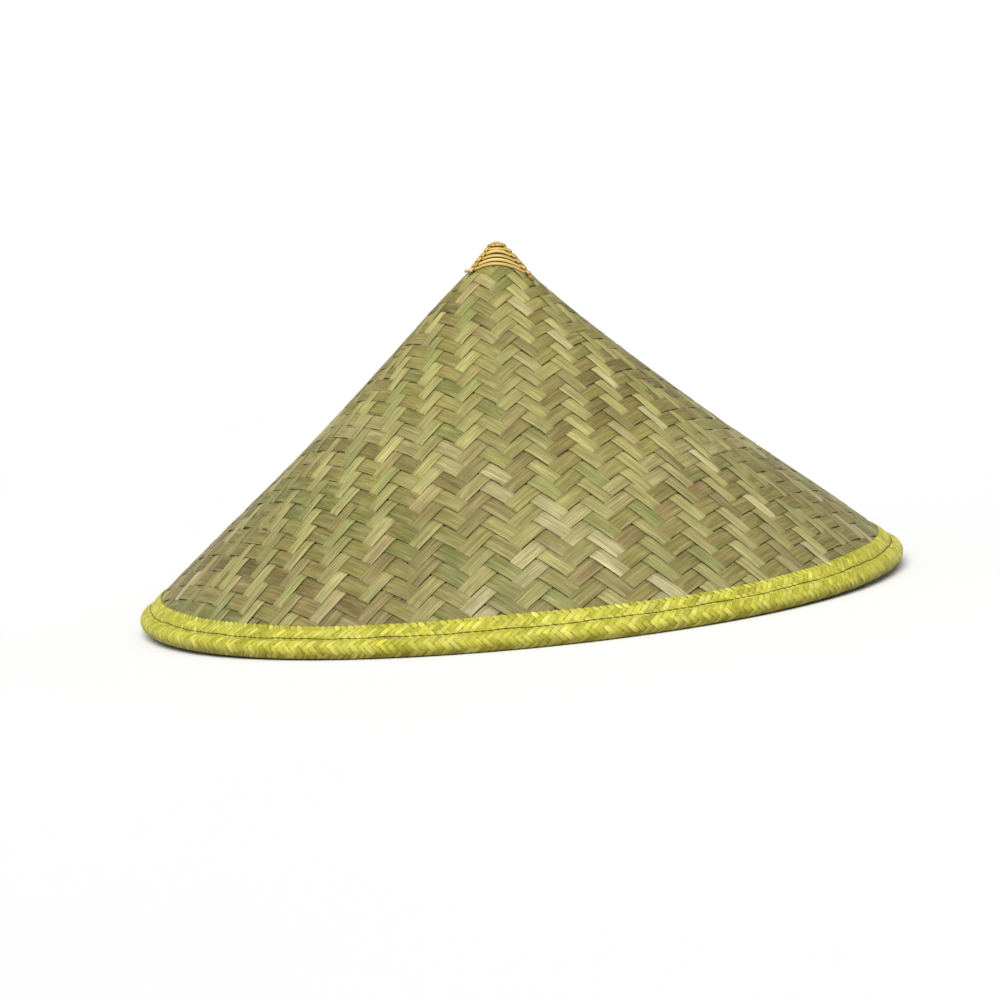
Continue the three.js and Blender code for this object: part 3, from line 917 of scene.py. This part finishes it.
def head_band_hoops():
    """Two hoops of a rounded square section, outside the band."""
    section = round_section(HOOP_SIZE[1], 14, 0.7)
    for name, middle in HOOP_HEIGHTS.items():
        hoop = Sheaf()
        path = level_path(2 * math.pi * HOOP_MIDDLE, 180, BAND_TOP - middle)
        tone = pick_tone(INNER_TONES)
        strip(hoop, on_drum(HOOP_MIDDLE), path, 0, HOOP_SIZE[0], section, tone, closed=True)
        hoop.build(f"{name}_round", BAMBOO_INNER, "band_bamboo", [name])


# ---- ties, loops and rings
TIE_COUNT = 6
TIE_HOOP_RADIUS = LATTICE_HOOP_RADII[2]
TIE_BACK = 87.3  # radius of a tie's run inside the band
TIE_SLOT = 92.7  # height of the slot that it comes out of
TIE_TOP = 98.5
TIE_DEPTHS = (2.78, 4.45)  # under the wall's surface, over and under the lattice hoop
TIE_SPACING = 0.74  # half the distance between its two windings


def in_plane(azimuth):
    """Places points of a section through the axis: radius, height, and the distance sideways."""
    a = math.radians(azimuth)

    def place(radius, rise, sideways):
        x = radius * math.sin(a) + sideways * math.cos(a)
        y = -radius * math.cos(a) + sideways * math.sin(a)
        return np.stack([x, y, rise], -1)

    return place


def section_point(radius, depth):
    """The radius and height of a point at a depth under the wall's surface."""
    slope = surface_slope(radius)
    length = math.hypot(slope, 1)
    return radius + depth * slope / length, surface_height(radius) - depth / length


def rounded_loop(corners, reach):
    """The closed line through the corners, each of them rounded off."""
    corners = np.asarray(corners, float)
    points = []
    for i, corner in enumerate(corners):
        before = corners[i - 1] - corner
        after = corners[(i + 1) % len(corners)] - corner
        start = corner + before / np.linalg.norm(before) * min(reach, np.linalg.norm(before) / 2.2)
        end = corner + after / np.linalg.norm(after) * min(reach, np.linalg.norm(after) / 2.2)
        for t in (0, 0.33, 0.67, 1):
            points.append((1 - t) ** 2 * start + 2 * t * (1 - t) * corner + t * t * end)
    return np.array(points)


def band_ties():
    """Split cane, wound twice through the head band, over its upper hoop and round a lattice hoop."""
    reach = 3.1 * CONE_RATIO + 0.25
    corners = (
        (TIE_BACK, TIE_SLOT),
        section_point(TIE_HOOP_RADIUS + reach, TIE_DEPTHS[1]),
        section_point(TIE_HOOP_RADIUS + reach, TIE_DEPTHS[0]),
        section_point(TIE_HOOP_RADIUS - reach, TIE_DEPTHS[0]),
        (TIE_BACK, TIE_TOP),
    )
    path = rounded_loop(corners, 0.7)
    side, crown = 0.55, 0.68
    upper = [(0.5, side), (0.2, crown), (-0.2, crown), (-0.5, side)]
    section = np.array([(0.5, -side), *upper, (-0.5, -side), (-0.2, -crown), (0.2, -crown)])
    for k in range(TIE_COUNT):
        tie = Sheaf()
        for offset in (-TIE_SPACING, TIE_SPACING):
            sway = offset + 0.05 * np.sin(np.arange(len(path)) + k)
            strip(tie, in_plane(60 * k), path, sway, 0.5, section, pick_tone(CANE_TONES), closed=True)
        node = f"band_tie_{k + 1}"
        tie.build(f"{node}_lashing", CANE, "tie_cane", [node])


CHIN_SIDES = {"left": -90, "right": 90}  # azimuths
RING_PIVOT = (89.95, 63.6)  # radius and height of the straps' bends
RING_RADIUS = 6.0
RING_WIRE = 1.0
STRAP_BEND = 2.75
STRAP_TOP = 80.0
STRAP_WIDTH = 4.9
STRAP_THICKNESS = 0.75
STRAP_RIB = 0.7
BOX_STITCH = (1.7, 72.5, 78.5)  # a boxed cross: half its width, its bottom and its top
STITCH_LENGTH = 1.1
STITCH_THREAD = 0.22
STRAP_TONE = linear(112, 96, 62)
STITCH_TONE = linear(206, 196, 160)


def stitches(sheaf, azimuth, radius, start, end):
    """A row of short stitches on a strap's face, between two points given sideways and upwards."""
    start, end = np.array(start), np.array(end)
    count = max(int(np.linalg.norm(end - start) / STITCH_LENGTH), 2)
    plane = in_plane(azimuth)

    def face(sideways, rise, out):
        return plane(radius + out, rise, sideways)

    for k in range(count):
        t = (k + np.array([0.1, 0.3, 0.5, 0.7, 0.9])) / count
        path = start + (end - start) * t[:, None]
        height = np.array([-0.1, 0.02, 0.05, 0.02, -0.1])
        strip(sheaf, face, path, height, STITCH_THREAD, round_section(STITCH_THREAD, 6), STITCH_TONE)


def chin_loop(side, azimuth):
    """Ribbed tape, folded under the head band and sewn to it inside and outside."""
    loop = Sheaf()
    inside, outside = RING_PIVOT[0] - STRAP_BEND, RING_PIVOT[0] + STRAP_BEND
    turn = np.linspace(math.pi, 2 * math.pi, 17)
    bend = RING_PIVOT + STRAP_BEND * np.stack([np.cos(turn), np.sin(turn)], -1)
    legs = np.linspace(STRAP_TOP, RING_PIVOT[1] + 0.5, 22)
    inner = np.stack([np.full(22, inside), legs], -1)
    outer = np.stack([np.full(22, outside), legs[::-1]], -1)
    path = np.vstack([inner, bend, outer])
    across = np.linspace(-STRAP_WIDTH / 2, STRAP_WIDTH / 2, 15)
    ribs = 0.42 + 0.08 * np.cos(2 * math.pi * across / STRAP_RIB)
    section = np.vstack([np.stack([ribs, across], -1), np.stack([-ribs, across[::-1]], -1)])
    strip(loop, in_plane(azimuth), path, 0, STRAP_THICKNESS, section, STRAP_TONE)
    half, low, high = BOX_STITCH
    for leg, out in ((inside, -1), (outside, 1)):
        for from_rise, to_rise in ((low, low), (high, high), (low, high), (high, low)):
            stitches(loop, azimuth, leg + 0.36 * out, (-half, from_rise), (half, to_rise))
    node = f"chin_loop_{side}"
    loop.build(f"{node}_tape", TAPE, "tape", [node])


def chin_ring(side, azimuth):
    """A wire ring that hangs in its loop and rides on a body of its own."""
    ring = Sheaf()
    turn = 2 * math.pi * np.arange(72) / 72
    path = RING_RADIUS * np.stack([np.cos(turn), np.sin(turn)], -1)
    centre = math.copysign(RING_PIVOT[0], azimuth)

    def upright(across, down, out):
        return np.stack([centre + out, across, RING_PIVOT[1] - RING_RADIUS + down], -1)

    wire = 2 * RING_WIRE
    strip(ring, upright, path, 0, wire, round_section(wire, 16), (0.6, 0.6, 0.58), closed=True)
    node = f"chin_ring_{side}"
    ring.build(f"{node}_wire", STEEL, "ring_wire", [node], body=f"{side}_ring", sharp=80)


# ---- the bound tip
SPOKES = (
    # azimuth, slant distances of the first and last knots, and where the spoke ends
    (-58.0, 4.6, 20.2, 22.4),
    (61.0, 5.2, 26.0, 31.0),
    (180.0, 5.0, 21.5, 24.5),
)
CANE_TURNS = 6
CANE_WIDTH = 2.05
CANE_THICKNESS = 0.9
KNOT_WIDTH = 2.0
KNOT_REACH = 1.15  # half the length of a knot along its spoke
KNOT_GAP = 0.3  # between the two halves of a knot
FULL_KNOT = 12  # slant distance from which the knots have their full width
SPOKE_WIDTH = 2.0
TUFT_HALF = 4.6  # half the length of the crossed ends at the very tip
TUFTS = ((5.0, 1.4), (125.0, 1.2), (-115.0, 1.3), (65.0, -0.4))  # their rays and sidesteps
CAP_ROUND = 3.4  # radius over which the heap's top is rounded
CAP_BULGE = 3.0
CAP_REACH = 11.0


def cap_height(radius):
    """The rounded heap that the spokes and the ends of the weave make under the cane."""
    cone = SURFACE_TIP - FALL / SURFACE_RADIUS * np.sqrt(radius**2 + CAP_ROUND**2)
    return cone + CAP_BULGE * np.exp(-((radius / CAP_REACH) ** 2))


def on_cap(ray):
    """Places points as on_wall does, on that heap."""

    def place(across, down, height):
        radius = np.hypot(across, down) * CONE_RATIO
        azimuth = math.radians(ray) + np.arctan2(across, down) / CONE_RATIO
        rise = cap_height(radius)
        slope = (cap_height(radius + 0.01) - rise) / 0.01
        return leaning(standing_off(azimuth, radius, rise, slope, height), radius)

    return place


def knot_slant(spoke, turn):
    """The slant distance at which a turn of the cane crosses a spoke."""
    _, first, last, _ = SPOKES[spoke]
    return first + (last - first) * turn / (CANE_TURNS - 1)


def cane_run(cane, spoke, turn):
    """One straight run of cane from a spoke to the next, raised where it crosses them."""
    following = (spoke + 1) % 3
    later = turn + (1 if following == 0 else 0)
    if later == CANE_TURNS:
        return
    azimuth = SPOKES[spoke][0]
    gap = (SPOKES[following][0] - azimuth) % 360
    half = math.radians(gap) * CONE_RATIO / 2
    ends = np.array((knot_slant(spoke, turn), knot_slant(following, later)))
    start, end = ends + rng.uniform(-0.3, 0.3, 2)
    t = np.linspace(-0.05, 1.05, 25)
    across = (-start + (start + end) * t) * math.sin(half)
    down = (start + (end - start) * t) * math.cos(half)
    near = np.minimum(t, 1 - t) * (start + end) * math.sin(half)
    height = 0.35 + 0.65 * soft_step(1 - near / 1.4)
    sag = 0.4 * np.sin(math.pi * np.clip(t, 0, 1)) * rng.uniform(-1, 1)
    path = np.stack([across, down + sag], -1)
    width = CANE_WIDTH * rng.uniform(0.82, 1.08)
    section = flat_section(width, CANE_THICKNESS, crown=0.14, bevel=0.28)
    # painted shade: each run darkens towards its ends, where it passes under the knots
    tone = pick_tone(CANE_TONES) * (0.55 + 0.45 * soft_step(near / 0.8 - 1.2))[:, None]
    tone = tone * rng.uniform(0.88, 1.1)
    tilt = rng.uniform(-0.2, 0.2)
    place = on_cap(azimuth + gap / 2)
    strip(cane, place, path, height, width, section, tone, tilt=tilt, dark=0.3)


def knot(cane, spoke, turn):
    """The cane's square turn over a spoke."""
    t = np.linspace(-1, 1, 13)
    height = 0.9 + 0.7 * (1 - np.abs(t) ** 12)
    slant = knot_slant(spoke, turn)
    width = KNOT_WIDTH * min(1.0, slant / FULL_KNOT)
    section = flat_section(width, 0.6, crown=0.06, bevel=0.15)
    place = on_cap(SPOKES[spoke][0] + rng.uniform(-2, 2))
    for side in (-0.5, 0.5):
        middle = side * (width + KNOT_GAP)
        skew = rng.uniform(-0.3, 0.4)
        slip = rng.uniform(-0.25, 0.25)
        path = np.stack([middle + skew * t, slant + slip + KNOT_REACH * t], -1)
        # painted highlight and shade: a knot is lighter than the cane runs, and darkens towards its two
        # ends where it tucks under
        tone = np.outer(1 - 0.6 * np.abs(t) ** 8, pick_tone(CANE_TONES) * rng.uniform(1.02, 1.26))
        strip(cane, place, path, height, width, section, tone, dark=0.3)


def cane_winding():
    """The cane: its runs, its knots, the crossed ends over the tip, and the loose end below."""
    cane = Sheaf()
    for turn in range(CANE_TURNS):
        for spoke in range(3):
            cane_run(cane, spoke, turn)
    for spoke in range(3):
        for turn in range(CANE_TURNS):
            knot(cane, spoke, turn)
    section = flat_section(2.0, CANE_THICKNESS, crown=0.12, bevel=0.28)
    x = np.linspace(-TUFT_HALF, TUFT_HALF, 17)
    height = 0.45 + 0.35 * (1 - (x / TUFT_HALF) ** 2)
    for ray, sidestep in TUFTS:
        path = np.stack([x, np.full(17, sidestep)], -1)
        strip(cane, on_cap(ray), path, height, 2.0, section, pick_tone(CANE_TONES), dark=0.45)
    x = np.linspace(0, 5.5, 12)
    path = np.stack([-x, knot_slant(0, CANE_TURNS - 1) + 0.06 * x], -1)
    height = 0.9 + 0.03 * x**2
    strip(cane, on_cap(SPOKES[0][0]), path, height, 1.6, section, pick_tone(CANE_TONES), dark=0.45)
    cane.build("apex_cane_winding", CANE, "cane", ["apex_cane"])


def spokes():
    """The three lengths of cane that the winding goes over, dark at their cut ends."""
    section = flat_section(SPOKE_WIDTH, 1.0, crown=0.1, bevel=0.3)
    for number, (azimuth, _, _, end) in enumerate(SPOKES):
        spoke = Sheaf()
        path = np.stack([np.zeros(24), np.linspace(1.0, end, 24)], -1)
        tone = np.tile(pick_tone(CANE_TONES), (24, 1))
        tone[-2:] *= 0.4
        strip(spoke, on_cap(azimuth), path, 0.5, SPOKE_WIDTH, section, tone, dark=0.5)
        node = f"apex_spoke_{number + 1}"
        spoke.build(f"{node}_cane", CANE, "cane", [node])


# ---- the stage
FLOOR_TONE = 0.94
FLOOR_RADIUS = 12.0  # metres, as is the bend's
BACKDROP_BEND = 2.5
BEND_STEPS = 12
FLOOR_SIDES = 96


def stage_material():
    m = Nodes("pale_floor")
    cloud = m.noise(m.place(), scale=1.5, detail=2)
    return m.finish(m.mottled(m.even((FLOOR_TONE, FLOOR_TONE, FLOOR_TONE)), cloud, 0.01), 0.9, 0.1)


def make_stage():
    """A wide pale floor that curves up all round into a low backdrop."""
    line = [(0.5, 0.0), (FLOOR_RADIUS, 0.0)]
    for i in range(1, BEND_STEPS + 1):
        a = math.pi / 2 * i / BEND_STEPS
        line.append((FLOOR_RADIUS + BACKDROP_BEND * math.sin(a), BACKDROP_BEND * (1 - math.cos(a))))
    turn = 2 * np.pi * np.arange(FLOOR_SIDES) / FLOOR_SIDES
    points = [(r * math.cos(a), r * math.sin(a), z) for r, z in line for a in turn]
    faces = [tuple(range(FLOOR_SIDES))]
    for i in range(len(line) - 1):
        inner, outer = FLOOR_SIDES * i, FLOOR_SIDES * (i + 1)
        for k in range(FLOOR_SIDES):
            following = (k + 1) % FLOOR_SIDES
            faces.append((inner + k, outer + k, outer + following, inner + following))
    mesh = bpy.data.meshes.new("floor")
    mesh.from_pydata(points, [], faces)
    mesh.polygons.foreach_set("use_smooth", [True] * len(mesh.polygons))
    mesh.materials.append(stage_material())
    floor = new_object("floor", mesh)


WORLD_STRENGTH = 0.38
KEY_DIRECTION = Vector((0.13, 0.68, -0.74))
KEY_POWER = 2.94
KEY_WIDTH = math.radians(45)


def make_light():
    """A white room, and one broad key light from above and behind the camera, a little to its left."""
    world = bpy.data.worlds.new("studio")
    world.use_nodes = True
    background = world.node_tree.nodes["Background"]
    background.inputs["Color"].default_value = (1, 1, 1, 1)
    background.inputs["Strength"].default_value = WORLD_STRENGTH
    bpy.context.scene.world = world
    data = bpy.data.lights.new("key", "SUN")
    data.energy = KEY_POWER
    data.angle = KEY_WIDTH
    light = new_object("key", data)
    light.rotation_mode = "QUATERNION"
    light.rotation_quaternion = KEY_DIRECTION.to_track_quat("-Z", "Y")


# The order of these calls is the order of the random draws.
make_camera()
weave()
braid()
seam()
lining()
lattice()
head_band()
head_band_hoops()
band_ties()
for chin_side, chin_azimuth in CHIN_SIDES.items():
    chin_loop(chin_side, chin_azimuth)
    chin_ring(chin_side, chin_azimuth)
cane_winding()
spokes()
rim_hoops()
make_stage()
make_light()
bpy.context.scene.view_settings.view_transform = "Standard"
